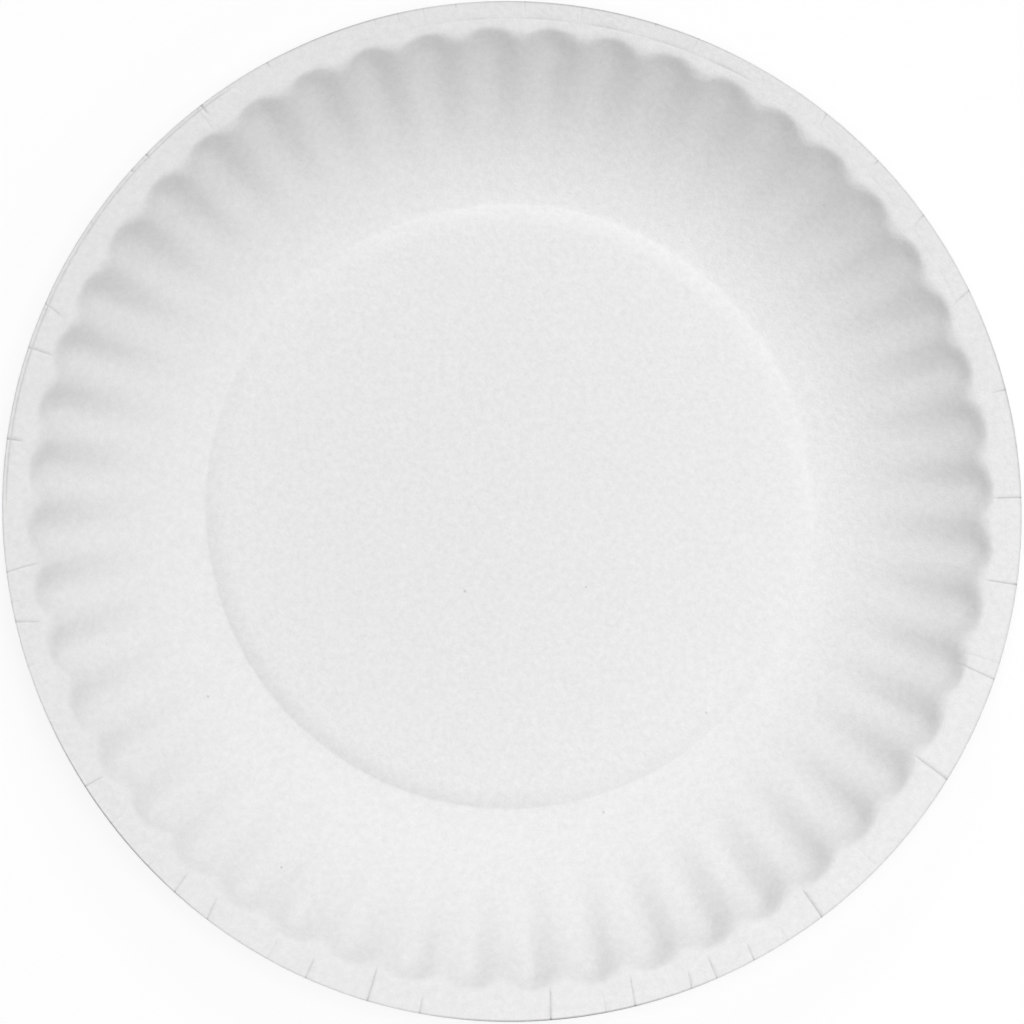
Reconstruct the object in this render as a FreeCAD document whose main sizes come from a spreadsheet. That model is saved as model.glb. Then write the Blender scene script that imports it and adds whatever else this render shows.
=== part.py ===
"""Pressed paper plate: one sheet of board with a raised floor, a plain lower wall,
forty-eight flutes that deepen towards the rim, and a level rim.

Millimetres, +Z up. The origin is the middle of the circle the plate stands on.
"""
import FreeCAD
import Part
import Sketcher
import math
import os

Vector = FreeCAD.Vector

# Driving sizes: alias, value, what it is
SIZES = [
    ("plate_diameter", 228.6, "across the cut edge"),
    ("plate_height", 20.0, "table to the top of the rim"),
    ("board_thickness", 0.35, "the sheet"),
    ("foot_diameter", 135.4, "middle of the flat ring the plate stands on"),
    ("foot_width", 0.9, "flat of that ring"),
    ("floor_lift", 0.88, "floor above the foot"),
    ("floor_edge", 20.0, "radius where the floor rolls down to the foot"),
    ("wall_start_angle", 6.5, "slope of the wall where it leaves the foot, degrees"),
    ("plain_wall", 16.3, "width of the wall inside the flutes"),
    ("shoulder_radius", 3.0, "roll from the wall to the rim"),
    ("rim_width", 6.1, "level rim outside the roll"),
    ("flute_count", 48, "flutes round the plate"),
    ("flute_depth", 2.0, "lobe tip to notch at the rim, along the radius"),
    ("lobe_fullness", 1.25, "radius of a lobe over the radius of a notch"),
]


def make_sheet(doc):
    """Spreadsheet with one aliased cell for each driving size."""
    sheet = doc.addObject("Spreadsheet::Sheet", "sizes")
    for row, (alias, value, note) in enumerate(SIZES, start=1):
        sheet.set("A%d" % row, alias)
        sheet.set("B%d" % row, str(value))
        sheet.set("C%d" % row, note)
        sheet.setAlias("B%d" % row, alias)
    doc.recompute()
    return sheet


# Section of the board: the line of its upper face, in the radius-height plane

class SectionLine:
    """Straight runs from the axis to the flutes, and guide arcs on to the cut edge.

    The floor's edge rolls down on one arc and the wall climbs on another, and the
    straight runs are their chords. The guide arcs and line are construction only.
    """

    WALL_CHORDS = 3

    def __init__(self, doc, sheet):
        self.sheet = sheet
        self.sketch = doc.addObject("Sketcher::SketchObject", "board_line")
        self.sketch.Placement = FreeCAD.Placement(Vector(0, 0, 0), FreeCAD.Rotation(Vector(1, 0, 0), 90))
        self.draw()
        self.constrain()

    def wall_circle(self, start):
        """Centre and radius of the wall's arc, and the centre of the shoulder's arc.

        The wall leaves the foot at its start slope and touches the shoulder's
        circle from outside. The shoulder ends level at the rim.
        """
        size = self.sheet
        slope = math.radians(size.wall_start_angle)
        shoulder = Vector(size.plate_diameter / 2 - size.rim_width, size.plate_height - size.shoulder_radius, 0)
        inward = Vector(-math.sin(slope), math.cos(slope), 0)
        gap = start - shoulder
        radius = (gap.dot(gap) - size.shoulder_radius ** 2) / (2 * (size.shoulder_radius - gap.dot(inward)))
        return start + inward * radius, radius, shoulder

    def draw(self):
        """Lay down every line and arc close to its place."""
        size = self.sheet
        upward = Vector(0, 0, 1)
        foot_in = Vector((size.foot_diameter - size.foot_width) / 2, size.board_thickness, 0)
        foot_out = foot_in + Vector(size.foot_width, 0, 0)
        roll_width = math.sqrt(size.floor_lift * (2 * size.floor_edge - size.floor_lift))
        floor_end = foot_in + Vector(-roll_width, size.floor_lift, 0)
        roll_centre = floor_end - Vector(0, size.floor_edge, 0)
        roll_angle = math.atan2(foot_in.y - roll_centre.y, roll_width)
        roll_middle = self.on_circle(roll_centre, size.floor_edge, (roll_angle + math.pi / 2) / 2)
        wall_centre, wall_radius, shoulder_centre = self.wall_circle(foot_out)
        flute_angle = -math.acos((foot_out.x + size.plain_wall - wall_centre.x) / wall_radius)
        start_angle = math.radians(size.wall_start_angle - 90)
        wall_step = (flute_angle - start_angle) / self.WALL_CHORDS
        wall_points = [self.on_circle(wall_centre, wall_radius, start_angle + wall_step * step)
                       for step in range(self.WALL_CHORDS + 1)]
        touch = shoulder_centre - wall_centre
        touch_angle = math.atan2(touch.y, touch.x)
        add = self.sketch.addGeometry
        line = Part.LineSegment
        centre_point = Vector(0, floor_end.y, 0)
        self.floor = add(line(centre_point, floor_end))
        self.roll_upper = add(line(floor_end, roll_middle))
        self.roll_lower = add(line(roll_middle, foot_in))
        self.foot = add(line(foot_in, foot_out))
        self.wall = [add(line(low, high)) for low, high in zip(wall_points[:-1], wall_points[1:])]
        roll_circle = Part.Circle(roll_centre, upward, size.floor_edge)
        wall_circle = Part.Circle(wall_centre, upward, wall_radius)
        shoulder_circle = Part.Circle(shoulder_centre, upward, size.shoulder_radius)
        self.roll_arc = add(Part.ArcOfCircle(roll_circle, roll_angle, math.pi / 2), True)
        self.plain_arc = add(Part.ArcOfCircle(wall_circle, start_angle, flute_angle), True)
        self.fluted_arc = add(Part.ArcOfCircle(wall_circle, flute_angle, touch_angle), True)
        self.shoulder_arc = add(Part.ArcOfCircle(shoulder_circle, math.pi / 2, math.pi + touch_angle), True)
        self.rim = add(line(Vector(shoulder_centre.x, size.plate_height, 0),
                            Vector(size.plate_diameter / 2, size.plate_height, 0)), True)
        self.spoke = add(line(foot_out, wall_centre), True)

    @staticmethod
    def on_circle(centre, radius, angle):
        """Point of a circle at an angle in radians."""
        return centre + Vector(math.cos(angle), math.sin(angle), 0) * radius

    def constrain(self):
        """Tie the line together and bind its sizes to the sheet."""
        start, end, centre = 1, 2, 3
        root, upright = -1, -2
        add = self.add
        bind = self.bind
        chain = [self.floor, self.roll_upper, self.roll_lower, self.foot] + self.wall
        for first, second in zip(chain[:-1], chain[1:]):
            add("Coincident", first, end, second, start)
        # Floor and foot are level, and the roll between them is two equal chords
        add("PointOnObject", self.floor, start, upright)
        add("Horizontal", self.floor)
        add("Horizontal", self.foot)
        add("Tangent", self.floor, end, self.roll_arc, end)
        add("Coincident", self.roll_arc, start, self.foot, start)
        add("PointOnObject", self.roll_upper, end, self.roll_arc)
        add("Equal", self.roll_upper, self.roll_lower)
        # The wall is equal chords up to the flutes, then a guide to the cut edge
        add("Coincident", self.plain_arc, start, self.foot, end)
        add("Coincident", self.plain_arc, end, self.wall[-1], end)
        for lower, upper in zip(self.wall[:-1], self.wall[1:]):
            add("PointOnObject", lower, end, self.plain_arc)
            add("Equal", lower, upper)
        add("Coincident", self.fluted_arc, centre, self.plain_arc, centre)
        add("Coincident", self.fluted_arc, start, self.plain_arc, end)
        add("Tangent", self.fluted_arc, end, self.shoulder_arc, end)
        add("Tangent", self.shoulder_arc, start, self.rim, start)
        add("Horizontal", self.rim)
        add("Coincident", self.spoke, start, self.foot, end)
        add("Coincident", self.spoke, end, self.plain_arc, centre)
        bind("foot_radius", "sizes.foot_diameter / 2 - sizes.foot_width / 2",
             "DistanceX", root, start, self.foot, start)
        bind("foot_flat", "sizes.foot_width", "DistanceX", self.foot, start, self.foot, end)
        bind("board", "sizes.board_thickness", "DistanceY", root, start, self.foot, start)
        bind("lift", "sizes.floor_lift", "DistanceY", self.foot, start, self.floor, end)
        bind("roll", "sizes.floor_edge", "Radius", self.roll_arc)
        bind("plain", "sizes.plain_wall", "DistanceX", self.foot, end, self.wall[-1], end)
        bind("shoulder", "sizes.shoulder_radius", "Radius", self.shoulder_arc)
        bind("rim_flat", "sizes.rim_width", "DistanceX", self.rim, start, self.rim, end)
        bind("outer_radius", "sizes.plate_diameter / 2", "DistanceX", root, start, self.rim, end)
        bind("top", "sizes.plate_height", "DistanceY", root, start, self.rim, end)
        bind("spoke_angle", "90 deg + sizes.wall_start_angle * 1 deg", "Angle", self.spoke)

    def add(self, kind, *parts):
        """One geometric constraint."""
        return self.sketch.addConstraint(Sketcher.Constraint(kind, *parts))

    def bind(self, name, formula, kind, *parts):
        """One dimension whose value is a formula of the sheet's sizes."""
        index = self.add(kind, *parts, self.sketch.evalExpression(formula))
        self.sketch.renameConstraint(index, name)
        self.sketch.setExpression("Constraints." + name, formula)


def make_dish(doc, line):
    """Floor, foot and plain wall: the line made one board thick and turned round the axis."""
    board = doc.addObject("Part::Offset2D", "board_section")
    board.Source = line.sketch
    board.Mode = "Skin"
    board.Join = "Intersection"
    board.Fill = True
    board.setExpression("Value", "-sizes.board_thickness")
    dish = doc.addObject("Part::Revolution", "dish")
    dish.Source = board
    dish.Axis = Vector(0, 0, 1)
    dish.Base = Vector(0, 0, 0)
    dish.Angle = 360
    dish.Solid = True
    doc.recompute()
    return dish


# Fluted wall, shoulder and rim

# Where the ring between the flutes' start and the shoulder lies along the wall's arc
MIDDLE_RING = 0.4

# Largest gap that is closed between neighbouring faces of the rim
SEAM_GAP = 0.00001


class Station:
    """One place along the section: the points of both faces and the depth of the flutes."""

    def __init__(self, upper, under, depth):
        self.upper = upper
        self.under = under
        self.depth = depth


def stations(line, sheet):
    """Places along the guide line between which the board runs straight.

    The flutes start at nothing and deepen evenly with the radius up to the shoulder.
    """
    geometry = line.sketch.Geometry
    wall = geometry[line.fluted_arc]
    shoulder = geometry[line.shoulder_arc]
    last_chord = geometry[line.wall[-1]]
    board = sheet.board_thickness
    inner = wall.StartPoint
    outer = wall.EndPoint
    turn = wall.FirstParameter + MIDDLE_RING * (wall.LastParameter - wall.FirstParameter)
    middle = line.on_circle(wall.Center, wall.Radius, turn)
    chord = (last_chord.EndPoint - last_chord.StartPoint).normalize()
    found = [Station(inner, inner + Vector(chord.y, -chord.x, 0) * board, 0)]
    for point in (middle, outer):
        outward = (point - wall.Center).normalize()
        depth = sheet.flute_depth * (point.x - inner.x) / (outer.x - inner.x)
        found.append(Station(point, point + outward * board, depth))
    level = shoulder.StartPoint
    found.append(Station(level, level - Vector(0, board, 0), sheet.flute_depth))
    return found


def place(radius, angle, height):
    """Point at a radius and an angle round the axis."""
    return Vector(radius * math.cos(angle), radius * math.sin(angle), height)


def flute_joins(mean, depth, sheet):
    """Where a lobe's arc passes into a notch's: radius and angle from the lobe's middle.

    Both arcs' centres lie on rays half a pitch apart, and the lobe's radius is
    lobe_fullness times the notch's, so the law of cosines gives the notch's
    radius as the root of a quadratic.
    """
    half_pitch = math.pi / sheet.flute_count
    tip = mean.x + depth / 2
    throat = mean.x - depth / 2
    ratio = sheet.lobe_fullness
    spread = math.cos(half_pitch)
    square = ratio ** 2 + 1 + 2 * ratio * spread - (ratio + 1) ** 2
    linear = 2 * throat - 2 * ratio * tip - 2 * spread * (tip - ratio * throat)
    fixed = tip ** 2 + throat ** 2 - 2 * tip * throat * spread
    notch = 2 * fixed / (math.sqrt(linear ** 2 - 4 * square * fixed) - linear)
    lobe_centre = place(tip - ratio * notch, 0, 0)
    notch_centre = place(throat + notch, half_pitch, 0)
    join = lobe_centre + (notch_centre - lobe_centre) * (ratio / (ratio + 1))
    return join.Length, math.atan2(join.y, join.x)


def ring(mean, depth, join_radius, join_angle, sheet):
    """One ring of arcs: a lobe outward, then a notch inward, and so on round."""
    count = int(sheet.flute_count)
    pitch = 2 * math.pi / count
    tip = mean.x + depth / 2
    throat = mean.x - depth / 2
    arcs = []
    for index in range(count):
        middle = pitch * index
        before = place(join_radius, middle - join_angle, mean.y)
        after = place(join_radius, middle + join_angle, mean.y)
        following = place(join_radius, middle + pitch - join_angle, mean.y)
        arcs.append(Part.Arc(before, place(tip, middle, mean.y), after).toShape())
        arcs.append(Part.Arc(after, place(throat, middle + pitch / 2, mean.y), following).toShape())
    return arcs


def rings(points, depths, sheet):
    """One ring of arcs for each station.

    The first ring is round, and its arcs end at the same angles as the next ring's.
    """
    joins = [flute_joins(point, depth, sheet) for point, depth in zip(points[1:], depths[1:])]
    joins.insert(0, (points[0].x, joins[0][1]))
    return [ring(point, depth, radius, angle, sheet)
            for point, depth, (radius, angle) in zip(points, depths, joins)]


def bands(levels):
    """Straight-ruled strips of board between one ring and the next."""
    faces = []
    for lower, upper in zip(levels[:-1], levels[1:]):
        for first, second in zip(lower, upper):
            faces.append(Part.makeRuledSurface(first, second))
    return faces


def level_rim(edges, outer_radius, height):
    """Flat ring from the scalloped fold to the cut edge."""
    outline = Part.Wire(Part.makeCircle(outer_radius, Vector(0, 0, height)))
    face = Part.Face(outline)
    hole = Part.Face(Part.Wire(edges))
    return face.cut(hole).Faces


def make_rim(doc, sheet, line):
    """Fluted wall, shoulder and rim as one closed solid of board."""
    places = stations(line, sheet)
    depths = [station.depth for station in places]
    upper = rings([station.upper for station in places], depths, sheet)
    under = rings([station.under for station in places], depths, sheet)
    outer_radius = sheet.plate_diameter / 2
    top = sheet.plate_height
    bottom = top - sheet.board_thickness
    edge = Part.makeCylinder(outer_radius, sheet.board_thickness, Vector(0, 0, bottom))
    faces = bands(upper) + bands(under)
    faces += bands([upper[0], under[0]])
    faces += level_rim(upper[-1], outer_radius, top) + level_rim(under[-1], outer_radius, bottom)
    faces += [face for face in edge.Faces if face.Surface.TypeId == "Part::GeomCylinder"]
    shell = Part.makeShell(faces)
    shell.sewShape(SEAM_GAP)
    solid = Part.makeSolid(shell)
    if solid.Volume < 0:
        solid.reverse()
    rim = doc.addObject("Part::Feature", "fluted_rim")
    rim.Shape = solid
    return rim


def make_plate(doc, dish, rim):
    """The whole sheet: dish and fluted rim in one piece."""
    plate = doc.addObject("Part::Fuse", "plate")
    plate.Base = dish
    plate.Tool = rim
    plate.Label = "plate"
    doc.recompute()
    return plate


def check(doc):
    """Stop if any object of the document failed or has no valid shape."""
    for item in doc.Objects:
        if "Invalid" in item.State or "Error" in item.State:
            raise RuntimeError("%s failed: %s" % (item.Name, item.State))
    for name in ("dish", "fluted_rim", "plate"):
        shape = doc.getObject(name).Shape
        if shape.isNull() or not shape.isValid():
            raise RuntimeError("%s has no valid shape" % name)


def main():
    """Build the plate and write it."""
    doc = FreeCAD.newDocument("paper_plate")
    sheet = make_sheet(doc)
    line = SectionLine(doc, sheet)
    dish = make_dish(doc, line)
    rim = make_rim(doc, sheet, line)
    plate = make_plate(doc, dish, rim)
    check(doc)
    os.makedirs("parts", exist_ok=True)
    plate.Shape.exportStep("parts/%s.step" % plate.Label)
    box = plate.Shape.BoundBox
    print("solids", len(plate.Shape.Solids), "faces", len(plate.Shape.Faces))
    print("volume %.1f, box %.3f x %.3f x %.3f"
          % (plate.Shape.Volume, box.XLength, box.YLength, box.ZLength))


main()
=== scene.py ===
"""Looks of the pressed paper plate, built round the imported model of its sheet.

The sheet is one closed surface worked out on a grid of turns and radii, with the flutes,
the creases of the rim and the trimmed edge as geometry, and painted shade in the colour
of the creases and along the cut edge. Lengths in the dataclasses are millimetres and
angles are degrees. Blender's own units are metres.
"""

import logging
import math
from dataclasses import dataclass, fields
from enum import Enum
from typing import Any, Dict, List, Optional, Tuple, Union

import bpy
import numpy as np
from mathutils import Matrix, Vector


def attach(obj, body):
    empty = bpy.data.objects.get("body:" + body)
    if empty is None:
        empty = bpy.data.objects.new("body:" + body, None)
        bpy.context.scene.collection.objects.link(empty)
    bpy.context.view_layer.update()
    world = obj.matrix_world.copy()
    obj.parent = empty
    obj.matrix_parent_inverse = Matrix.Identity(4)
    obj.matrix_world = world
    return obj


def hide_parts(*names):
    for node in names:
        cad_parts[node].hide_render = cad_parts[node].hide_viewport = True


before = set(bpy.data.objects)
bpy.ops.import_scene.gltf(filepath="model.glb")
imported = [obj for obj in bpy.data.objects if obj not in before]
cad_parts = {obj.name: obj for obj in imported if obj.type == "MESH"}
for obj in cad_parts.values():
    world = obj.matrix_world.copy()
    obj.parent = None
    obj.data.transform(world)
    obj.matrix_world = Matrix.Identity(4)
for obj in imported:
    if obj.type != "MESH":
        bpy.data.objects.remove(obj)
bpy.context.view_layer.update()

LOG = logging.getLogger("paper_plate")
Array = np.ndarray
MM = 0.001
WHITE = (1.0, 1.0, 1.0, 1.0)

# The tip of one flute is on +X, and the picture shows that flute this far round
PICTURE_TURN = 2.5


def from_picture(angle: float) -> float:
    """Turn an angle seen in the picture, anticlockwise from its right, into one from +X."""
    return angle - PICTURE_TURN


def smooth_step(values: Array, low: float, high: float) -> Array:
    """Rise from 0 at low to 1 at high along 3t^2 - 2t^3.

    Args:
        values: Where to work it out.
        low: Where the rise starts.
        high: Where it ends, which may be below low for a fall.

    Returns:
        One share for each value.
    """
    share = np.clip((values - low) / (high - low), 0.0, 1.0)
    return share * share * (3.0 - 2.0 * share)


def turn_gap(first: Array, second: float) -> Array:
    """Signed angle in degrees from second to first, between -180 and 180."""
    return (first - second + 180.0) % 360.0 - 180.0


class Press(Enum):
    """How hard a crease of the rim is pressed: its depth in millimetres."""

    STRONG = 0.19
    MEDIUM = 0.14
    LIGHT = 0.10
    FAINT = 0.05


@dataclass(frozen=True)
class Crease:
    """One radial crease that runs in from the cut edge.

    The angles are as the picture shows them: where the crease meets the edge, and
    how far it has turned at its inner end. Its reach is how far in it runs, and its
    width is half of the groove's.
    """

    edge: float
    reach: float
    press: Press
    slant: float = 0.0
    width: float = 0.27
    dashed: bool = False


@dataclass(frozen=True)
class Wobble:
    """One wave round the plate: how many waves, their height and their phase."""

    waves: int
    height: float
    phase: float


@dataclass(frozen=True)
class EdgeLine:
    """A pressed line beside the cut edge: it rises from its start to its full depth, fades
    to its end, and may weaken between the flutes. Its angles are as the picture shows
    them, and its width is half of the groove's."""

    inset: float
    start: float
    full: float
    fade: float
    end: float
    depth: float
    width: float
    breaks: float


@dataclass(frozen=True)
class PaintedEdgeStretch:
    """A stretch of the cut edge with more painted shade: its middle as the picture shows it,
    its half width in degrees and how dark the painted shade is there."""

    middle: float
    half: float
    shade: float


@dataclass(frozen=True)
class SheetSizes:
    """Sizes of the pressed sheet, within about a millimetre of its solid's at the folds."""

    radius: float = 114.3
    height: float = 20.0
    board: float = 0.35
    # Ring that the plate stands on: its radius and the width of its flat
    foot_radius: float = 68.7
    foot_width: float = 0.9
    # Height of the floor above the foot, and radius of the roll at the floor's edge
    floor_lift: float = 0.88
    floor_edge: float = 13.0
    # Slope of the wall at the foot, and the radii where the flutes start and are full
    wall_start: float = 3.5
    flutes_from: float = 79.6
    flutes_full: float = 98.0
    # Radius of the roll from the wall to the rim at a lobe and in a notch, and how far
    # the wall hangs back below the lobe's
    lobe_shoulder: float = 2.2
    notch_shoulder: float = 4.7
    lobe_cap: float = 0.32
    # Width of the rim from the middle of that roll to the cut edge, and its slope
    rim: float = 5.5
    rim_lean: float = 6.0
    # Number of flutes, their half depth on the wall, the share of it left at the shoulder,
    # and how much fuller the lobes are than the notches
    flutes: int = 48
    flute_wall: float = 0.6
    flute_top: float = 0.6
    lobe_fullness: float = 0.02
    # Half width of the softening of the folds inside and outside the flutes' start
    foot_softness: float = 0.34
    fold_softness: float = 0.8
    # Rounding of the cut edge, and how far and which way in the picture the trimmed blank
    # is shifted from the pressed form
    cut_round: float = 0.11
    trim_shift: float = 0.51
    trim_angle: float = 315.6
    # Painted shade of a pressed line for each millimetre of its depth, and the share more
    # of it close to the cut edge
    crease_painted_shade: float = 3.2
    crease_head_painted_shade: float = 0.6
    # Painted shade along the cut edge: how dark it is and how far in it reaches
    painted_edge_shade: float = 0.5
    edge_line: float = 0.5


# Pressed creases of the rim
CREASES: Tuple[Crease, ...] = (
    Crease(1.4, 6.2, Press.STRONG),
    Crease(13.7, 3.1, Press.MEDIUM),
    Crease(25.6, 4.9, Press.MEDIUM, slant=-0.65),
    Crease(35.6, 3.5, Press.MEDIUM, slant=-0.4),
    Crease(43.6, 1.7, Press.LIGHT),
    Crease(51.5, 3.5, Press.LIGHT, slant=-0.3),
    Crease(68.2, 3.1, Press.LIGHT, slant=0.3, dashed=True),
    Crease(73.4, 1.0, Press.LIGHT),
    Crease(81.9, 3.3, Press.FAINT),
    Crease(88.4, 2.4, Press.FAINT),
    Crease(96.2, 1.0, Press.LIGHT),
    Crease(99.9, 2.6, Press.FAINT),
    Crease(102.8, 2.2, Press.FAINT),
    Crease(105.5, 2.4, Press.FAINT),
    Crease(118.5, 1.7, Press.LIGHT),
    Crease(127.3, 2.3, Press.STRONG, width=0.34),
    Crease(127.9, 6.2, Press.FAINT),
    Crease(135.6, 1.4, Press.STRONG, width=0.34),
    Crease(138.0, 0.8, Press.MEDIUM),
    Crease(145.4, 2.5, Press.FAINT),
    Crease(155.9, 4.9, Press.MEDIUM, slant=0.6),
    Crease(161.2, 6.5, Press.MEDIUM),
    Crease(171.8, 3.9, Press.STRONG),
    Crease(186.9, 7.5, Press.MEDIUM, slant=-0.6),
    Crease(190.3, 2.6, Press.FAINT),
    Crease(192.6, 5.7, Press.MEDIUM, slant=0.6),
    Crease(197.8, 2.6, Press.FAINT),
    Crease(212.9, 5.9, Press.MEDIUM, slant=0.2),
    Crease(218.0, 3.6, Press.FAINT),
    Crease(224.4, 2.5, Press.FAINT),
    Crease(228.6, 5.9, Press.MEDIUM, slant=-0.3),
    Crease(233.4, 5.3, Press.MEDIUM, slant=-0.6),
    Crease(241.5, 5.0, Press.FAINT),
    Crease(246.3, 4.5, Press.MEDIUM),
    Crease(253.7, 7.3, Press.STRONG),
    Crease(259.7, 3.6, Press.MEDIUM),
    Crease(274.5, 6.4, Press.STRONG, slant=0.2),
    Crease(280.8, 3.9, Press.FAINT),
    Crease(284.1, 6.4, Press.MEDIUM, slant=0.3),
    Crease(290.7, 3.6, Press.MEDIUM, slant=0.4),
    Crease(293.8, 5.0, Press.MEDIUM),
    Crease(298.4, 3.6, Press.MEDIUM, slant=0.2),
    Crease(302.8, 2.8, Press.FAINT),
    Crease(307.4, 6.7, Press.STRONG, slant=0.2),
    Crease(315.8, 7.8, Press.FAINT, dashed=True),
    Crease(328.3, 7.5, Press.STRONG, slant=0.4),
    Crease(340.7, 8.4, Press.MEDIUM, slant=0.4),
    Crease(342.6, 7.3, Press.FAINT),
    Crease(351.6, 6.2, Press.STRONG),
)

# Slow waves of the cut edge
WOBBLES: Tuple[Wobble, ...] = (
    Wobble(2, 0.45, 106.0),
    Wobble(3, 0.13, 3.5),
    Wobble(4, 0.085, 67.0),
    Wobble(5, 0.06, -164.0),
)

# Unevenness of the pressed wall, in the height of the sheet
RIPPLES: Tuple[Wobble, ...] = (
    Wobble(29, 0.035, 20.0),
    Wobble(61, 0.032, 250.0),
    Wobble(83, 0.026, 130.0),
    Wobble(109, 0.022, 300.0),
    Wobble(131, 0.018, 75.0),
    Wobble(157, 0.014, 190.0),
)

# Where the painted shade along the cut edge is darker
PAINTED_EDGE_STRETCHES: Tuple[PaintedEdgeStretch, ...] = (
    PaintedEdgeStretch(218.0, 26.0, 1.7),
    PaintedEdgeStretch(276.0, 30.0, 1.7),
    PaintedEdgeStretch(78.0, 30.0, 1.1),
    PaintedEdgeStretch(108.0, 24.0, 1.0),
    PaintedEdgeStretch(12.0, 26.0, 0.9),
)

# Lines pressed into the rim beside the cut edge
EDGE_LINES: Tuple[EdgeLine, ...] = (
    EdgeLine(3.95, 59.4, 61.5, 86.0, 112.0, 0.10, 0.42, 0.75),
    EdgeLine(4.05, 18.0, 30.0, 52.0, 59.0, 0.035, 0.42, 0.85),
    EdgeLine(0.95, 121.0, 127.0, 176.0, 181.0, 0.14, 0.3, 0.0),
)


class Section:
    """Height of the sheet's upper face over the radius, from the middle to the cut edge."""

    STEP = 0.02
    # Width of the hang below the shoulder, and the power that moves it outward
    CAP_WIDTH = 8.0
    CAP_POWER = 1.6

    def __init__(self, sizes: SheetSizes, shoulder: float, cap: float = 0.0) -> None:
        """Work out the height of the face on a fine row of radii.

        Args:
            sizes: Sizes of the sheet.
            shoulder: Radius of the roll from the wall to the rim.
            cap: How far the wall hangs back below the shoulder before it steepens.
        """
        self.sizes = sizes
        self.shoulder = shoulder
        self.cap = cap
        self.radius = np.arange(0.0, sizes.radius + self.STEP, self.STEP)
        raw = self.raw_height(self.radius)
        self.height = np.where(self.radius < sizes.flutes_from,
                               self.softened(raw, sizes.foot_softness),
                               self.softened(raw, sizes.fold_softness))
        slope = np.gradient(self.height, self.STEP)
        length = np.hypot(1.0, slope)
        self.lean = -slope / length
        self.rise = 1.0 / length

    def shoulder_circle(self) -> Tuple[float, float, float]:
        """Centre of the shoulder's arc, set so that the rim, which leaves the arc at its
        lean, is at its full height at the cut edge.

        Returns:
            Radius and height of the centre, and the radius where the rim leaves the arc.
        """
        sizes = self.sizes
        lean = math.radians(sizes.rim_lean)
        middle = sizes.radius - sizes.rim
        leaves = middle - self.shoulder * math.sin(lean)
        top = sizes.height - (sizes.radius - leaves) * math.tan(lean)
        return middle, top - self.shoulder * math.cos(lean), leaves

    def wall_circle(self) -> Tuple[float, float, float]:
        """Centre and radius of the wall's arc: it leaves the foot at its start slope and
        touches the shoulder's circle from outside.

        Returns:
            Radius and height of the arc's centre, and the arc's own radius.
        """
        sizes = self.sizes
        slope = math.radians(sizes.wall_start)
        start = np.array([sizes.foot_radius + sizes.foot_width / 2, sizes.board])
        centre = np.array(self.shoulder_circle()[:2])
        inward = np.array([-math.sin(slope), math.cos(slope)])
        gap = start - centre
        arc = (gap @ gap - self.shoulder ** 2) / (2 * (self.shoulder - gap @ inward))
        middle = start + inward * arc
        return float(middle[0]), float(middle[1]), float(arc)

    def raw_height(self, radius: Array) -> Array:
        """Height over the radius before the folds are softened.

        The floor is level, then falls on an arc to the foot's flat. The wall is the lower
        half of a large circle, less a squared sine that hangs it back below the shoulder.
        The shoulder is the upper half of a small circle, and the rim rises a little to the
        edge. Each takes over at the radius where it meets the one before.

        Args:
            radius: Radii in millimetres, rising.

        Returns:
            One height for each radius.
        """
        sizes = self.sizes
        foot_in = sizes.foot_radius - sizes.foot_width / 2
        foot_out = sizes.foot_radius + sizes.foot_width / 2
        floor = sizes.board + sizes.floor_lift
        roll = foot_in - math.sqrt(sizes.floor_lift * (2 * sizes.floor_edge - sizes.floor_lift))
        fall = np.clip(radius - roll, 0.0, foot_in - roll)
        height = floor - sizes.floor_edge + np.sqrt(sizes.floor_edge ** 2 - fall ** 2)
        wall_at, wall_height, wall_arc = self.wall_circle()
        shoulder_at, shoulder_height, leaves = self.shoulder_circle()
        away = wall_arc / (wall_arc + self.shoulder)
        touch = wall_at + (shoulder_at - wall_at) * away
        wall = wall_height - np.sqrt(wall_arc ** 2 - np.clip(radius - wall_at, 0.0, wall_arc) ** 2)
        hung = np.clip((radius - touch + self.CAP_WIDTH) / self.CAP_WIDTH, 0.0, 1.0)
        wall = wall - self.cap * np.sin(np.pi * hung ** self.CAP_POWER) ** 2
        across = np.clip(radius - shoulder_at, -self.shoulder, 0.0)
        shoulder = shoulder_height + np.sqrt(self.shoulder ** 2 - across ** 2)
        rim = sizes.height - (sizes.radius - radius) * math.tan(math.radians(sizes.rim_lean))
        height = np.where(radius > foot_out, wall, height)
        height = np.where(radius > touch, shoulder, height)
        return np.where(radius > leaves, rim, height)

    def softened(self, height: Array, softness: float) -> Array:
        """Each height's mean with its neighbours under a cosine bell.

        Args:
            height: Heights on the even row of radii.
            softness: Half width of the bell in millimetres.

        Returns:
            The softened heights.
        """
        half = int(softness / self.STEP)
        bell = 1.0 + np.cos(np.pi * np.arange(-half, half + 1) / (half + 1))
        beyond = height[-1] + (height[-1] - height[-2]) * np.arange(1, half + 1)
        padded = np.concatenate([np.full(half, height[0]), height, beyond])
        return np.convolve(padded, bell / bell.sum(), mode="valid")

    def at(self, radius: Array) -> Tuple[Array, Array, Array]:
        """Height and upward normal of the face.

        Args:
            radius: Radii in millimetres.

        Returns:
            Height, and the normal's outward and upward parts.
        """
        return (np.interp(radius, self.radius, self.height),
                np.interp(radius, self.radius, self.lean),
                np.interp(radius, self.radius, self.rise))


@dataclass(frozen=True)
class Ply:
    """Rows of one face of the sheet, from the middle outward."""

    lobe_radius: Array
    lobe_height: Array
    notch_radius: Array
    notch_height: Array
    station: Array


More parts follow.
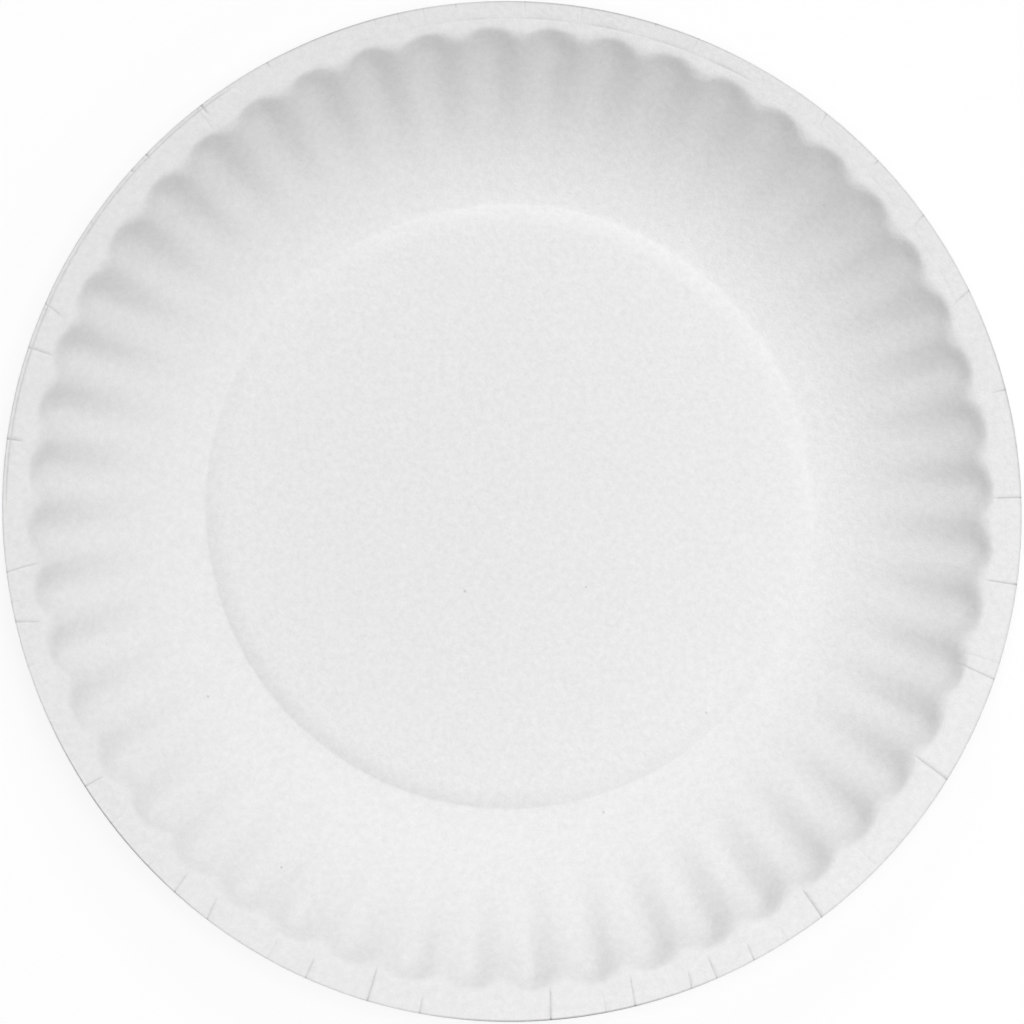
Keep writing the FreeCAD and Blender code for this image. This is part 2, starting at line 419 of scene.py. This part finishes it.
class PressedSheet:
    """The plate: one closed sheet of board."""

    # Columns round the plate: a few inside the flutes, and many through them
    INNER_COLUMNS = 240
    OUTER_COLUMNS = 1056
    # Radius at which the columns change
    CHANGE = 79.5
    # Columns across a crease in its half widths, and their least gap to an even column
    # as a share of the even pitch
    CREASE_COLUMNS = (-1.0, -0.5, 0.0, 0.5, 1.0)
    CREASE_GAP = 0.3
    # Flutes: how far inside the middle of the shoulder they start to fall back and to die
    # out, and how far outside it they are gone
    FALL_FROM = 5.0
    DIE_FROM = 0.2
    DIE_BY = 1.6
    # Ripples: the radii between which they grow, how far inside the middle of the shoulder
    # they start to die out and how far outside it they are gone
    RIPPLES_FROM = 86.0
    RIPPLES_FULL = 100.0
    RIPPLES_DIE_FROM = 3.0
    RIPPLES_DIE_BY = 0.5
    # Their most turn, in degrees for a millimetre of radius, and its waves round the plate
    TWIST = 6.0
    TWIST_WAVES = 3.0
    # Creases: how far in they go on turning, and the shares of the reach where they start
    # to fade and are gone
    SLANT_REACH = 8.0
    FADE_FROM = 0.75
    FADE_BY = 1.12
    DASH_PITCH = 1.3
    # Turn from a lobe's tip to where an edge line is whole
    BREAKS_TURN = 1.2
    # How far in from the cut edge the extra painted shade at the heads of the creases ends and is
    # full
    HEAD_END = 1.3
    HEAD_FULL = 0.3
    # How far in from the cut edge the painted shade along it is full
    LINE_FULL = 0.05

    def __init__(self, sizes: SheetSizes) -> None:
        """Keep the sizes and work out the sections and the columns.

        Args:
            sizes: Sizes of the sheet.
        """
        self.sizes = sizes
        self.lobe = Section(sizes, sizes.lobe_shoulder, sizes.lobe_cap)
        self.notch = Section(sizes, sizes.notch_shoulder)
        self.turns = self.outer_turns()

    # Rows and columns

    def inner_radii(self) -> Array:
        """Rows inside the change of columns, closest together at the foot's fold."""
        foot = self.sizes.foot_radius
        return np.concatenate([
            np.array([2.0, 16.0, 36.0, 52.0]),
            foot + np.array([-8.5, -5.8, -4.8, -4.2, -3.6, -3.0, -2.4, -1.9, -1.5]),
            foot + np.arange(-1.2, 1.81, 0.2),
            foot + np.array([2.2, 3.4, 5.4, 7.6, 9.6]),
            np.array([self.CHANGE]),
        ])

    def upper_radii(self) -> Array:
        """Rows of the upper face from the change of columns to where the cut edge rounds."""
        sizes = self.sizes
        return np.concatenate([
            np.array([self.CHANGE]),
            np.arange(82.0, 100.0, 2.4),
            np.array([101.4, 102.8, 104.0, 104.9, 105.6, 106.2, 106.7, 107.1, 107.4, 107.65,
                      107.9, 108.15, 108.4, 108.7, 109.1, 109.5, 109.98, 110.17, 110.35,
                      110.53, 110.7, 111.6, 112.6]),
            sizes.radius - np.array([1.25, 1.1, 0.95, 0.8, 0.65, 0.5, 0.3, sizes.cut_round]),
        ])

    def under_radii(self) -> Array:
        """Rows of the lower face, fewer, from the change of columns to the cut edge."""
        return np.array([self.CHANGE, 84.0, 89.0, 94.0, 98.5, 102.0, 104.3, 105.7, 106.6, 107.2,
                         107.7, 108.2, 108.8, 110.0, 112.4,
                         self.sizes.radius - self.sizes.cut_round])

    def outer_turns(self) -> Array:
        """Angles of the outer columns in degrees from +X: an even row, with five columns
        across each crease in place of the ones that were there."""
        pitch = 360.0 / self.OUTER_COLUMNS
        even = np.arange(self.OUTER_COLUMNS) * pitch
        span = math.degrees(1.0 / self.sizes.radius)
        middles = np.array([from_picture(crease.edge) for crease in CREASES])
        widths = np.array([crease.width for crease in CREASES])
        across = np.array(self.CREASE_COLUMNS)
        extra = (middles[:, None] + across[None, :] * widths[:, None] * span).ravel()
        least = widths[None, :] * span + self.CREASE_GAP * pitch
        near = np.abs(turn_gap(even[:, None], middles[None, :])) < least
        kept = even[~near.any(axis=1)]
        return np.unique(np.round(np.concatenate([kept, extra % 360.0]), 5))

    # Shape over the columns

    def wave(self, turns: Array) -> Array:
        """Wave of the flutes: the cosine of the turn times the number of flutes, a little
        fuller on the lobes than in the notches.

        Args:
            turns: Angles in degrees.

        Returns:
            1 at each lobe's tip and -1 in each notch.
        """
        phase = np.radians(turns) * self.sizes.flutes
        return np.cos(phase) + self.sizes.lobe_fullness * np.sin(phase) ** 2

    def fluting(self, radius: Array) -> Array:
        """How far the flutes push the face in and out: it grows smoothly up the wall, falls
        back a little at the shoulder and dies out on the rim.

        Args:
            radius: Radii in millimetres.

        Returns:
            Half the depth of the flutes in millimetres.
        """
        sizes = self.sizes
        shoulder = sizes.radius - sizes.rim
        grown = smooth_step(radius, sizes.flutes_from, sizes.flutes_full)
        fallen = smooth_step(radius, shoulder - self.FALL_FROM, shoulder)
        back = 1.0 - (1.0 - sizes.flute_top) * fallen
        left = smooth_step(radius, shoulder + self.DIE_BY, shoulder - self.DIE_FROM)
        return sizes.flute_wall * grown * back * left

    def ripples(self, turns: Array, radius: Array) -> Array:
        """How uneven the wall is: the sum of the ripples' cosines, each turning a little
        with the radius, from nothing at the foot to full by the shoulder.

        Args:
            turns: Grid of angles in degrees.
            radius: Grid of radii before the flutes and the outline.

        Returns:
            Millimetres up.
        """
        shoulder = self.sizes.radius - self.sizes.rim
        grown = smooth_step(radius, self.RIPPLES_FROM, self.RIPPLES_FULL)
        left = smooth_step(radius, shoulder + self.RIPPLES_DIE_BY, shoulder - self.RIPPLES_DIE_FROM)
        height = np.zeros_like(radius)
        for ripple in RIPPLES:
            sway = np.cos(np.radians(turns * self.TWIST_WAVES + ripple.phase))
            twist = self.TWIST * sway * (shoulder - radius)
            angle = ripple.waves * turns + ripple.phase + twist
            height = height + ripple.height * np.cos(np.radians(angle))
        return height * (grown * left)

    def outline(self, turns: Array) -> Array:
        """How far the cut edge stands out from its mean circle: the shift of the trimmed
        blank against the pressed form, and the sum of the wobbles' cosines.

        Args:
            turns: Angles in degrees from +X.

        Returns:
            Millimetres outward for each angle.
        """
        seen = turns + PICTURE_TURN
        sizes = self.sizes
        out = sizes.trim_shift * np.cos(np.radians(seen - sizes.trim_angle))
        for wobble in WOBBLES:
            out = out + wobble.height * np.cos(np.radians(wobble.waves * seen + wobble.phase))
        return out

    def slant(self, turns: Array, radius: Array) -> Array:
        """Turn of the columns along the slanted creases, in degrees: each column follows
        the creases beside it, in proportion to how near they are.

        Args:
            turns: Angles of the columns at the cut edge.
            radius: Radii of the rows.

        Returns:
            A grid of rows and columns.
        """
        ordered = sorted(CREASES, key=lambda crease: crease.edge)
        knots = np.array([from_picture(crease.edge) for crease in ordered])
        rates = np.array([crease.slant / crease.reach for crease in ordered])
        rate = np.interp(turns, knots, rates, period=360.0)
        inward = np.clip(self.sizes.radius - radius, 0.0, self.SLANT_REACH)
        return inward[:, None] * rate[None, :]

    def pressed_depth(self, turns: Array, radius: Array) -> Array:
        """Depth of the creases and of the lines beside the cut edge.

        A crease is a V across its line and fades out over the last part of its reach, and
        a dashed one comes and goes along it as a cosine. An edge line is a V across its
        radius, and weakens between the flutes as a cosine of the turn.

        Args:
            turns: Grid of angles in degrees.
            radius: Grid of radii before the flutes and the outline.

        Returns:
            Millimetres below the smooth face.
        """
        sizes = self.sizes
        inset = sizes.radius - radius
        depth = np.zeros_like(radius)
        for crease in CREASES:
            turned = crease.slant / crease.reach * np.clip(inset, 0.0, self.SLANT_REACH)
            middle = from_picture(crease.edge) + turned
            across = np.abs(np.radians(turn_gap(turns, middle))) * sizes.radius
            groove = np.clip(1.0 - across / crease.width, 0.0, 1.0)
            along = smooth_step(inset, crease.reach * self.FADE_BY, crease.reach * self.FADE_FROM)
            if crease.dashed:
                along = along * (0.5 + 0.5 * np.cos(2 * np.pi * inset / self.DASH_PITCH))
            depth = np.maximum(depth, crease.press.value * groove * along)
        seen = (turns + PICTURE_TURN) % 360.0
        for line in EDGE_LINES:
            groove = np.clip(1.0 - np.abs(inset - line.inset) / line.width, 0.0, 1.0)
            there = (smooth_step(seen, line.start, line.full)
                     * smooth_step(seen, line.end, line.fade))
            phase = np.radians(turns - self.BREAKS_TURN) * sizes.flutes
            breaks = line.breaks * (0.5 - 0.5 * np.cos(phase))
            depth = np.maximum(depth, line.depth * groove * there * (1.0 - breaks))
        return depth

    # Mesh

    def face_rows(self, radii: Array, side: float) -> Ply:
        """Rows of one face: the lobe's and the notch's section lines for the upper face, or
        the same lines one board thickness along their normals for the lower.

        Args:
            radii: Radii along the upper face.
            side: 0 for the upper face and 1 for the lower.

        Returns:
            The rows.
        """
        board = self.sizes.board * side
        lines = []
        for section in (self.lobe, self.notch):
            height, lean, rise = section.at(radii)
            lines += [radii - lean * board, height - rise * board]
        return Ply(*lines, radii)

    def cut_rows(self) -> Ply:
        """Rows round the cut edge, from the upper face to the lower: a quarter circle, the
        straight cut and another quarter circle."""
        sizes = self.sizes
        bevel = sizes.cut_round
        angles = np.radians(np.array([30.0, 60.0, 90.0]))
        out = sizes.radius - bevel + bevel * np.sin(angles)
        down = bevel * (1.0 - np.cos(angles))
        radius = np.concatenate([out, out[::-1]])
        height = np.concatenate([sizes.height - down, sizes.height - sizes.board + down[::-1]])
        return Ply(radius, height, radius, height, np.full_like(radius, sizes.radius))

    def place(self, ply: Ply, turns: Array) -> Tuple[Array, Array]:
        """Points of rows of the sheet.

        The wave blends the notch's line into the lobe's. The point of a row and a column is
        at the blended radius, plus the fluting times the wave, plus the outline's share,
        which grows evenly across the rim. Its height is the blended one plus the ripples
        and less the pressed depth. A pressed line gets painted shade as dark as it is deep,
        with more of it close to the cut edge, and the cut edge gets its own painted shade.

        Args:
            ply: The rows.
            turns: Angles of the columns at the cut edge.

        Returns:
            Points by row and column in millimetres, and the painted shade of the pressed
            lines and the cut edge.
        """
        sizes = self.sizes
        angles = turns[None, :] + self.slant(turns, ply.station)
        station = np.broadcast_to(ply.station[:, None], angles.shape)
        wave = self.wave(angles)
        share = np.clip(0.5 + 0.5 * wave, 0.0, 1.0)
        across_rim = np.clip((ply.station - (sizes.radius - sizes.rim)) / sizes.rim, 0.0, 1.0)
        radius = (ply.notch_radius[:, None] + (ply.lobe_radius - ply.notch_radius)[:, None] * share
                  + self.fluting(ply.station)[:, None] * wave
                  + across_rim[:, None] * self.outline(angles))
        pressed = self.pressed_depth(angles, station)
        height = (ply.notch_height[:, None] + (ply.lobe_height - ply.notch_height)[:, None] * share
                  + self.ripples(angles, station) - pressed)
        flat = np.radians(angles)
        points = np.stack([radius * np.cos(flat), radius * np.sin(flat), height], axis=-1)
        inset = sizes.radius - station
        # Painted shade: the pressed depth times its factor, a share more at the heads of the
        # creases, and the painted shade along the cut edge
        painted_head_share = 1.0 + sizes.crease_head_painted_shade * smooth_step(inset, self.HEAD_END, self.HEAD_FULL)
        return points, pressed * sizes.crease_painted_shade * painted_head_share + self.painted_edge_shade(angles, station)

    def painted_edge_shade(self, turns: Array, radius: Array) -> Array:
        """Painted shade along the cut edge: full on the cut, gone a little way inside it, and
        stronger round some stretches of the edge, each a squared cosine of the turn.

        Args:
            turns: Grid of angles in degrees.
            radius: Grid of radii before the flutes and the outline.

        Returns:
            How dark the painted shade is, in steps of the board's finish.
        """
        seen = turns + PICTURE_TURN
        strength = np.full_like(turns, self.sizes.painted_edge_shade)
        for stretch in PAINTED_EDGE_STRETCHES:
            gap = np.clip(turn_gap(seen, stretch.middle) / stretch.half, -1.0, 1.0)
            strength = np.maximum(strength, stretch.shade * np.cos(gap * np.pi / 2) ** 2)
        inset = self.sizes.radius - radius
        return strength * smooth_step(inset, self.sizes.edge_line, self.LINE_FULL)

    def build(self) -> bpy.types.Object:
        """Make the closed mesh of the sheet.

        The outer part is one loop of rows from the change of columns, over the rim, round
        the cut edge and back on the underside. Each face's inner part is a disc of rows
        round one middle point, and a strip of triangles joins it to the outer part.

        Returns:
            The piece, at the origin.
        """
        parts = (self.face_rows(self.upper_radii(), 0.0), self.cut_rows(),
                 self.face_rows(self.under_radii()[::-1], 1.0))
        loop = Ply(*(np.concatenate([getattr(part, line.name) for part in parts])
                     for line in fields(Ply)))
        outer, shade = self.place(loop, self.turns)
        inner_turns = np.arange(self.INNER_COLUMNS) * (360.0 / self.INNER_COLUMNS)
        grid = MeshGrid()
        ring = grid.add_loop(outer, shade)
        ring_turns = self.turns + self.slant(self.turns, np.array([self.CHANGE]))[0]
        for under, edge in ((False, ring[0]), (True, ring[-1])):
            rows = self.face_rows(self.inner_radii(), float(under))
            points, shade = self.place(rows, inner_turns)
            grid.add_disc(points, shade, under, edge, inner_turns, ring_turns)
        return grid.to_object("plate_sheet")


class MeshGrid:
    """Gathers rows of points into one mesh, and the painted shade of its pressed lines and cut
    edge.
    """

    def __init__(self) -> None:
        """Start with no points and no faces."""
        self.points: List[Array] = []
        self.painted_shades: List[Array] = []
        self.triangles: List[Array] = []
        self.quads: List[Array] = []
        self.count = 0

    def add_points(self, points: Array, shade: Array) -> Array:
        """Add a grid of points and return its grid of indices."""
        shape = points.shape[:-1]
        self.points.append(points.reshape(-1, 3))
        self.painted_shades.append(np.broadcast_to(shade, shape).ravel())
        size = int(np.prod(shape))
        index = self.count + np.arange(size).reshape(shape)
        self.count += size
        return index

    def add_quads(self, index: Array, flipped: bool = False) -> None:
        """Quads between neighbouring rows, closed round the columns.

        Args:
            index: Grid of vertex indices, rows outward and columns anticlockwise.
            flipped: True where the rows' faces look the other way.
        """
        low, high = index[:-1], index[1:]
        quads = np.stack([low, high, np.roll(high, -1, axis=1), np.roll(low, -1, axis=1)], axis=-1)
        quads = quads.reshape(-1, 4)
        self.quads.append(quads[:, ::-1] if flipped else quads)

    def add_loop(self, points: Array, shade: Array) -> Array:
        """Add the outer rows as one strip round the cut edge and return their indices."""
        index = self.add_points(points, shade)
        self.add_quads(index)
        return index

    def add_disc(self, points: Array, shade: Array, under: bool, ring: Array,
                 inner_turns: Array, ring_turns: Array) -> None:
        """Add one face's inner rows, its middle point and the strip to the outer ring.

        Each edge of the finer ring makes a triangle with the inner vertex nearest to it,
        and each inner edge one with the outer vertex where that nearest one changes.

        Args:
            points: Inner rows by column, the first nearest to the middle.
            shade: Painted shade of the pressed lines and the cut edge at those points.
            under: True for the lower face.
            ring: Indices of the outer part's ring.
            inner_turns: Angles of the inner columns.
            ring_turns: Angles of the outer ring's columns.
        """
        index = self.add_points(points[:-1], shade[:-1])
        self.add_quads(index, flipped=under)
        middle = points[0].mean(axis=0)[None, :]
        pole = self.add_points(middle, np.zeros(1))[0]
        first = index[0]
        fan = np.stack([np.full_like(first, pole), first, np.roll(first, -1)], axis=-1)
        last = index[-1]
        pitch = 360.0 / len(inner_turns)
        following = np.roll(ring_turns, -1)
        following[-1] += 360.0
        between = (ring_turns + following) / 2
        nearest = np.floor((between - inner_turns[0]) / pitch + 0.5).astype(int)
        count = len(inner_turns)
        outward = np.stack([last[nearest % count], ring, np.roll(ring, -1)], axis=-1)
        changes = np.flatnonzero(np.diff(np.concatenate([[nearest[-1] - count], nearest])) > 0)
        inward = np.stack([last[(nearest[changes] - 1) % count], ring[changes],
                           last[nearest[changes] % count]], axis=-1)
        faces = np.concatenate([fan, outward, inward])
        self.triangles.append(faces[:, ::-1] if under else faces)

    def to_object(self, name: str) -> bpy.types.Object:
        """Make the Blender mesh, smooth, with its attribute of painted shade and linked to the
        scene.

        Args:
            name: Name of the piece.

        Returns:
            The object, at the origin.
        """
        points = np.concatenate(self.points) * MM
        quads = np.concatenate(self.quads)
        triangles = np.concatenate(self.triangles)
        mesh = bpy.data.meshes.new(name)
        mesh.from_pydata(points.tolist(), [], quads.tolist() + triangles.tolist())
        # Painted shade of the creases, the pressed lines and the cut edge, for the board's colour
        mesh.attributes.new("painted_line_shade", "FLOAT", "POINT").data.foreach_set(
            "value", np.concatenate(self.painted_shades).astype(np.float32))
        mesh.polygons.foreach_set("use_smooth", np.ones(len(mesh.polygons), dtype=bool))
        mesh.update()
        piece = bpy.data.objects.new(name, mesh)
        bpy.context.scene.collection.objects.link(piece)
        return piece


# Materials

Operand = Union["Value", float]


class Graph:
    """Nodes of one material or world, made through one method."""

    def __init__(self, owner: Union[bpy.types.Material, bpy.types.World]) -> None:
        """Start with none of its nodes.

        Args:
            owner: The material or world.
        """
        owner.use_nodes = True
        self.tree = owner.node_tree
        self.tree.nodes.clear()

    def node(self, kind: str, settings: Optional[Dict[str, Any]] = None,
             inputs: Optional[Dict[Any, Any]] = None) -> bpy.types.Node:
        """Add one node.

        Args:
            kind: Blender's name of the node's type.
            settings: Settings of the node, set before its sockets.
            inputs: Values or links of its sockets, by name or number.

        Returns:
            The node.
        """
        made = self.tree.nodes.new(kind)
        for key, value in (settings or {}).items():
            setattr(made, key, value)
        for key, value in (inputs or {}).items():
            if isinstance(value, Value):
                value = value.socket
            if isinstance(value, bpy.types.NodeSocket):
                self.tree.links.new(value, made.inputs[key])
            else:
                made.inputs[key].default_value = value
        return made

    def value(self, kind: str, output: Union[str, int], settings: Optional[Dict[str, Any]] = None,
              inputs: Optional[Dict[Any, Any]] = None) -> "Value":
        """Add one node and wrap one of its outputs, by name or number."""
        return Value(self, self.node(kind, settings, inputs).outputs[output])


class Value:
    """A number from a shader node. An operator between two of them adds a Math node."""

    def __init__(self, graph: Graph, socket: bpy.types.NodeSocket) -> None:
        """Wrap an output socket of the graph."""
        self.graph = graph
        self.socket = socket

    def maths(self, operation: str, first: Operand, second: Operand) -> "Value":
        """One Math node on two operands."""
        return self.graph.value("ShaderNodeMath", 0, {"operation": operation},
                                {0: first, 1: second})

    def __add__(self, other: Operand) -> "Value":
        """Sum."""
        return self.maths("ADD", self, other)

    __radd__ = __add__

    def __sub__(self, other: Operand) -> "Value":
        """Difference."""
        return self.maths("SUBTRACT", self, other)

    def __rsub__(self, other: Operand) -> "Value":
        """Difference the other way round."""
        return self.maths("SUBTRACT", other, self)

    def __mul__(self, other: Operand) -> "Value":
        """Product."""
        return self.maths("MULTIPLY", self, other)

    __rmul__ = __mul__

    def most(self, other: Operand) -> "Value":
        """The larger of the two."""
        return self.maths("MAXIMUM", self, other)


@dataclass(frozen=True)
class Speck:
    """A fleck in the pulp, at a place in millimetres from the plate's middle as the picture
    shows it, with its size across and how much darker it is than the sheet."""

    right: float
    up: float
    across: float
    darkness: float


SPECKS: Tuple[Speck, ...] = (
    Speck(-9.8, -19.0, 1.0, 0.8),
    Speck(17.5, -18.1, 0.9, 0.65),
    Speck(-67.7, -42.6, 0.9, 0.75),
    Speck(-51.3, -80.7, 0.9, 0.75),
    Speck(44.7, -46.5, 0.9, 0.65),
    Speck(21.5, -69.0, 0.9, 0.65),
    Speck(64.1, -27.8, 0.7, 0.35),
    Speck(31.2, 33.1, 0.7, 0.35),
    Speck(70.6, 68.3, 0.7, 0.35),
    Speck(-23.5, 102.6, 0.9, -0.45),
)


@dataclass(frozen=True)
class BoardFinish:
    """Uncoated white paperboard: a mottle of fibres in colour and relief, with a few flecks,
    and painted shade in its pressed lines and along its cut edge.
    """

    colour: Tuple[float, float, float] = (0.82, 0.82, 0.818)
    # Share of the colour that is left where it is one step darker
    shade: float = 0.62
    # Steps that each noise darkens the board by from end to end, and its waves in a metre
    mottle: float = 0.39
    mottle_scale: float = 700.0
    fuzz: float = 0.32
    fuzz_scale: float = 2000.0
    cloud: float = 0.06
    cloud_scale: float = 85.0
    roughness: float = 0.55
    uneven_roughness: float = 0.12
    # Height of the relief in metres, and the fuzz's share of it
    relief: float = 0.0001
    fuzz_relief: float = 0.5

    def make(self) -> bpy.types.Material:
        """Build the material.

        Returns:
            The material.
        """
        material = bpy.data.materials.new("uncoated_board")
        graph = Graph(material)
        place = graph.node("ShaderNodeTexCoord").outputs["Object"]
        fibres = self.noise(graph, place, self.mottle_scale, 3.0)
        fuzz = self.noise(graph, place, self.fuzz_scale, 2.0)
        cloud = self.noise(graph, place, self.cloud_scale, 2.0)
        # Painted shade of the creases, the pressed lines and the cut edge comes from the mesh; the
        # noises and flecks are the board's own grain and tone
        lines = graph.value("ShaderNodeAttribute", "Fac", {"attribute_name": "painted_line_shade"})
        darker = ((0.5 - fibres) * self.mottle + (0.5 - fuzz) * self.fuzz
                  + (0.5 - cloud) * self.cloud + lines)
        for speck in SPECKS:
            darker = darker + self.fleck(graph, place, speck)
        paper = (*self.colour, 1.0)
        dark = (*(part * self.shade for part in self.colour), 1.0)
        tint = graph.node("ShaderNodeMix", {"data_type": "RGBA", "clamp_factor": False},
                          {0: darker, 6: paper, 7: dark}).outputs[2]
        rough = self.roughness + (fuzz - 0.5) * self.uneven_roughness
        bump = graph.node("ShaderNodeBump", {}, {
            "Strength": 1.0, "Distance": self.relief,
            "Height": fibres + fuzz * self.fuzz_relief})
        surface = graph.node("ShaderNodeBsdfPrincipled", {}, {
            "Base Color": tint, "Roughness": rough, "Specular IOR Level": 0.5,
            "Normal": bump.outputs[0]})
        graph.node("ShaderNodeOutputMaterial", {}, {"Surface": surface.outputs[0]})
        return material

    @staticmethod
    def noise(graph: Graph, place: bpy.types.NodeSocket, scale: float, detail: float) -> Value:
        """A noise of the sheet's own place, from 0 to 1.

        Args:
            graph: Where to add it.
            place: Object coordinates.
            scale: Waves in a metre.
            detail: Octaves.

        Returns:
            Its value.
        """
        return graph.value("ShaderNodeTexNoise", 0, {},
                           {"Vector": place, "Scale": scale, "Detail": detail})

    @staticmethod
    def fleck(graph: Graph, place: bpy.types.NodeSocket, speck: Speck) -> Value:
        """A soft round spot: full at its middle and gone at its rim, at any height.

        Args:
            graph: Where to add it.
            place: Object coordinates.
            speck: The fleck.

        Returns:
            How much darker it makes the sheet.
        """
        turn = math.radians(PICTURE_TURN)
        at = Vector((speck.right * math.cos(turn) + speck.up * math.sin(turn),
                     speck.up * math.cos(turn) - speck.right * math.sin(turn), 0.0)) * MM
        level = graph.node("ShaderNodeVectorMath", {"operation": "MULTIPLY"},
                           {0: place, 1: (1.0, 1.0, 0.0)}).outputs[0]
        gap = graph.value("ShaderNodeVectorMath", "Value", {"operation": "DISTANCE"},
                          {0: level, 1: at})
        radius = speck.across * MM / 2
        return graph.value("ShaderNodeMapRange", 0, {"interpolation_type": "SMOOTHSTEP"}, {
            "Value": gap, "From Min": 0.0, "From Max": radius,
            "To Min": speck.darkness, "To Max": 0.0})


@dataclass(frozen=True)
class Lamp:
    """A square soft lamp: where it is round the plate, how far it leans from straight
    overhead, its distance and width in metres, and its strength in watts."""

    name: str
    around: float
    lean: float
    distance: float
    width: float
    watts: float

    def make(self) -> bpy.types.Object:
        """Add the lamp, aimed at the plate.

        Returns:
            The lamp.
        """
        data = bpy.data.lights.new(self.name, "AREA")
        data.shape = "SQUARE"
        data.size = self.width
        data.energy = self.watts
        lamp = bpy.data.objects.new(self.name, data)
        bpy.context.scene.collection.objects.link(lamp)
        around, lean = math.radians(from_picture(self.around)), math.radians(self.lean)
        out = math.sin(lean)
        toward = Vector((out * math.cos(around), out * math.sin(around), math.cos(lean)))
        lamp.location = toward * self.distance
        lamp.rotation_euler = toward.to_track_quat("Z", "Y").to_euler()
        return lamp


@dataclass(frozen=True)
class Studio:
    """Plain white ground, soft lamps and the camera."""

    lamps: Tuple[Lamp, ...] = (
        Lamp("overhead_lamp", 60.0, 5.0, 3.0, 1.0, 45.8),
        Lamp("upper_lamp", 90.0, 50.0, 3.0, 1.0, 27.8),
        Lamp("near_right_lamp", 0.0, 35.0, 0.6, 0.3, 0.28),
        Lamp("near_low_lamp", 300.0, 35.0, 0.6, 0.3, 0.63),
    )
    # Strength of the even light from all round, which the camera sees as 1
    world: float = 0.01
    # Ground: its width in metres, its depth under the foot in millimetres, its grey, and
    # the strength and share of the glow that the camera sees in its place
    ground_width: float = 6.0
    ground_under: float = 0.02
    ground_grey: float = 0.8
    ground_glow: float = 1.04
    ground_shown: float = 0.85
    # Camera, in millimetres and degrees: its distance from the rim's level, the width it
    # sees there, how far it leans from straight overhead and where it aims
    distance: float = 3000.0
    view_width: float = 229.35
    lean_up: float = 2.65
    lean_left: float = 1.5
    aim_right: float = 0.325
    aim_up: float = -0.25

    def build(self, sizes: SheetSizes) -> None:
        """Add the ground, the lamps, the world and the camera.

        Args:
            sizes: Sizes of the sheet, whose rim the camera is set for.
        """
        scene = bpy.context.scene
        scene.view_settings.view_transform = "Standard"
        self.ground()
        for lamp in self.lamps:
            lamp.make()
        scene.world = self.sky()
        scene.camera = self.camera(sizes)

    def ground(self) -> bpy.types.Object:
        """A large level square, just under the foot."""
        half = self.ground_width / 2
        corners = [(-half, -half, 0.0), (half, -half, 0.0), (half, half, 0.0), (-half, half, 0.0)]
        mesh = bpy.data.meshes.new("ground")
        mesh.from_pydata(corners, [], [(0, 1, 2, 3)])
        mesh.transform(Matrix.Translation((0.0, 0.0, -self.ground_under * MM)))
        piece = bpy.data.objects.new("ground", mesh)
        bpy.context.scene.collection.objects.link(piece)
        material = bpy.data.materials.new("white_ground")
        graph = Graph(material)
        seen = self.seen(graph)
        grey = (self.ground_grey, self.ground_grey, self.ground_grey, 1.0)
        matt = graph.node("ShaderNodeBsdfDiffuse", {}, {"Color": grey})
        glow = graph.node("ShaderNodeEmission", {},
                          {"Color": WHITE, "Strength": self.ground_glow})
        shown = graph.node("ShaderNodeMixShader", {}, {
            0: seen * self.ground_shown, 1: matt.outputs[0], 2: glow.outputs[0]})
        graph.node("ShaderNodeOutputMaterial", {}, {"Surface": shown.outputs[0]})
        mesh.materials.append(material)
        return piece

    @staticmethod
    def seen(graph: Graph) -> Value:
        """1 where the camera sees the surface, straight or through the board's gloss.

        Args:
            graph: Where to add it.

        Returns:
            Its value.
        """
        path = graph.node("ShaderNodeLightPath")
        return Value(graph, path.outputs["Is Camera Ray"]).most(
            Value(graph, path.outputs["Is Glossy Ray"])).most(
            Value(graph, path.outputs["Is Transmission Ray"]))

    def sky(self) -> bpy.types.World:
        """Even light from all round, white to the camera."""
        world = bpy.data.worlds.new("studio")
        graph = Graph(world)
        level = self.seen(graph) * (1.0 - self.world) + self.world
        background = graph.node("ShaderNodeBackground", {}, {"Color": WHITE, "Strength": level})
        graph.node("ShaderNodeOutputWorld", {}, {"Surface": background.outputs[0]})
        return world

    def camera(self, sizes: SheetSizes) -> bpy.types.Object:
        """A long lens far overhead, leaning as the picture's does and turned so that the
        flutes stand where it shows them."""
        data = bpy.data.cameras.new("camera")
        data.sensor_width = 36.0
        data.lens = data.sensor_width * self.distance / self.view_width
        turn = Matrix.Rotation(math.radians(-PICTURE_TURN), 3, "Z")
        toward = (turn @ Vector((-math.tan(math.radians(self.lean_left)),
                                 math.tan(math.radians(self.lean_up)), 1.0))).normalized()
        upright = turn @ Vector((0.0, 1.0, 0.0))
        right = upright.cross(toward).normalized()
        above = toward.cross(right)
        aim = turn @ Vector((self.aim_right, self.aim_up, 0.0)) + Vector((0.0, 0.0, sizes.height))
        eye = (aim + toward * self.distance) * MM
        camera = bpy.data.objects.new("camera", data)
        bpy.context.scene.collection.objects.link(camera)
        turned = Matrix((right, above, toward)).transposed().to_4x4()
        camera.matrix_world = Matrix.Translation(eye) @ turned
        return camera


def main() -> None:
    """Build the sheet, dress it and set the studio."""
    logging.basicConfig(level=logging.INFO)
    sizes = SheetSizes()
    plate = PressedSheet(sizes).build()
    plate.data.materials.append(BoardFinish().make())
    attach(plate, "root")
    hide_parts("plate")
    LOG.info("plate_sheet: %d vertices, %d faces",
             len(plate.data.vertices), len(plate.data.polygons))
    Studio().build(sizes)


if __name__ == "__main__":
    main()
